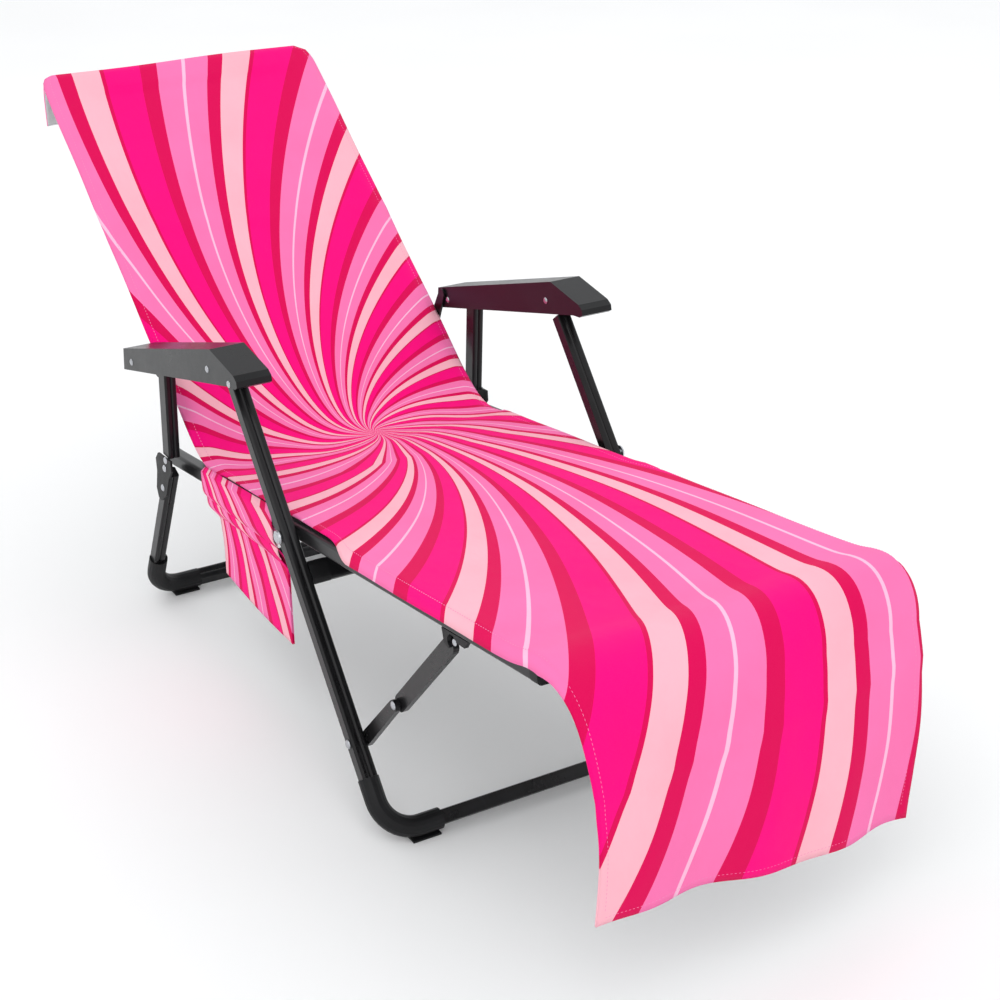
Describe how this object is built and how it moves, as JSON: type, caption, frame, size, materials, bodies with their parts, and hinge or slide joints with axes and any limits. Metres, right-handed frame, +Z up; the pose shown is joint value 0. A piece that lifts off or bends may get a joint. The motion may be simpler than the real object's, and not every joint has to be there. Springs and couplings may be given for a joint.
{
  "type": "folding recliner chair",
  "caption": "Folding reclining lounge chair with ribbed tube frame, channel armrests, fabric sling and a striped cloth cover draped over it, with a hanging side pocket.",
  "frame": {"origin": "centre of the bounding box on the floor", "axes": "+Z up, +Y towards the head end, +X across the chair to the sitter's left"},
  "size_m": [0.65, 1.8654, 0.8432],
  "materials": {
    "black_frame": "satin black paint",
    "black_plastic": "moulded, matt",
    "steel": "bright rivets",
    "sling": "woven black mesh",
    "cover_cloth": "microfibre, pink stripes"
  },
  "bodies": {
    "seat_frame": {"rail_near": "black_frame", "rail_far": "black_frame", "rail_cap_near": "black_plastic", "rail_cap_far": "black_plastic", "rail_nose_near": "black_plastic", "rail_nose_far": "black_plastic", "joint_plate_near": "black_plastic", "joint_plate_far": "black_plastic", "brace_hook_near": "black_plastic", "brace_hook_far": "black_plastic", "cross_rear": "black_frame", "cross_foot": "black_frame", "seat_sling": "sling", "cover_seat": "cover_cloth", "cover_drop": "cover_cloth", "pocket": "cover_cloth"},
    "front_legs": {"front_leg_near": "black_frame", "front_leg_far": "black_frame", "front_bolt_near": "steel", "front_bolt_far": "steel", "saddle_near": "black_plastic", "saddle_far": "black_plastic", "brace_bolt_near": "steel", "brace_bolt_far": "steel", "front_shoe_near": "black_plastic", "front_shoe_far": "black_plastic", "front_pad_near": "black_plastic", "front_pad_far": "black_plastic", "front_crossbar": "black_frame", "front_floor_bar": "black_frame"},
    "rear_legs": {"rear_leg_near": "black_frame", "rear_leg_far": "black_frame", "upright_near": "black_frame", "upright_far": "black_frame", "bracket_near": "black_plastic", "bracket_far": "black_plastic", "rear_shoe_near": "black_plastic", "rear_shoe_far": "black_plastic", "rear_pad_near": "black_plastic", "rear_pad_far": "black_plastic", "rear_floor_bar": "black_frame"},
    "backrest": {"back_tube_near": "black_frame", "back_tube_far": "black_frame", "arm_boss_near": "steel", "arm_boss_far": "steel", "arm_link_near": "black_frame", "arm_link_far": "black_frame", "back_cross_low": "black_frame", "back_cross_mid": "black_frame", "head_bar": "black_frame", "back_sling": "sling", "cover_back": "cover_cloth", "cover_hood": "cover_cloth"},
    "armrest_near": {"armrest_near": "black_plastic"},
    "armrest_far": {"armrest_far": "black_plastic"},
    "brace_near": {"brace_lower_near": "black_frame", "brace_upper_near": "black_frame"},
    "brace_far": {"brace_lower_far": "black_frame", "brace_upper_far": "black_frame"}
  },
  "joints": [
    {"name": "fold", "type": "hinge", "parent": "seat_frame", "child": "front_legs", "pos_m": [0, -0.1388, 0.375], "axis": [1, 0, 0], "range_deg": [0, 90]},
    {"name": "backrest_hinge", "type": "hinge", "parent": "seat_frame", "child": "backrest", "pos_m": [0, 0.2292, 0.318], "axis": [1, 0, 0], "range_deg": [0, 90]},
    {"name": "rear_leg_hinge", "type": "hinge", "parent": "seat_frame", "child": "rear_legs", "pos_m": [0, 0.3072, 0.313], "axis": [1, 0, 0], "range_deg": [-27, 0]},
    {"name": "armrest_hinge_near", "type": "hinge", "parent": "front_legs", "child": "armrest_near", "pos_m": [0, 0.0092, 0.552], "axis": [1, 0, 0], "range_deg": [-90, 0]},
    {"name": "armrest_hinge_far", "type": "hinge", "parent": "front_legs", "child": "armrest_far", "pos_m": [0, 0.0092, 0.552], "axis": [1, 0, 0], "range_deg": [-90, 0]},
    {"name": "brace_hinge_near", "type": "hinge", "parent": "front_legs", "child": "brace_near", "pos_m": [0, -0.3438, 0.128], "axis": [1, 0, 0], "range_deg": [-49.5, 0]},
    {"name": "brace_hinge_far", "type": "hinge", "parent": "front_legs", "child": "brace_far", "pos_m": [0, -0.3438, 0.128], "axis": [1, 0, 0], "range_deg": [-49.5, 0]}
  ],
  "couplings": [
    {"joint": "backrest_hinge", "follows": "fold", "ratio": 1},
    {"joint": "rear_leg_hinge", "follows": "fold", "ratio": -0.3},
    {"joint": "armrest_hinge_near", "follows": "fold", "ratio": -1},
    {"joint": "armrest_hinge_far", "follows": "fold", "ratio": -1},
    {"joint": "brace_hinge_near", "follows": "fold", "ratio": -0.55},
    {"joint": "brace_hinge_far", "follows": "fold", "ratio": -0.55}
  ]
}
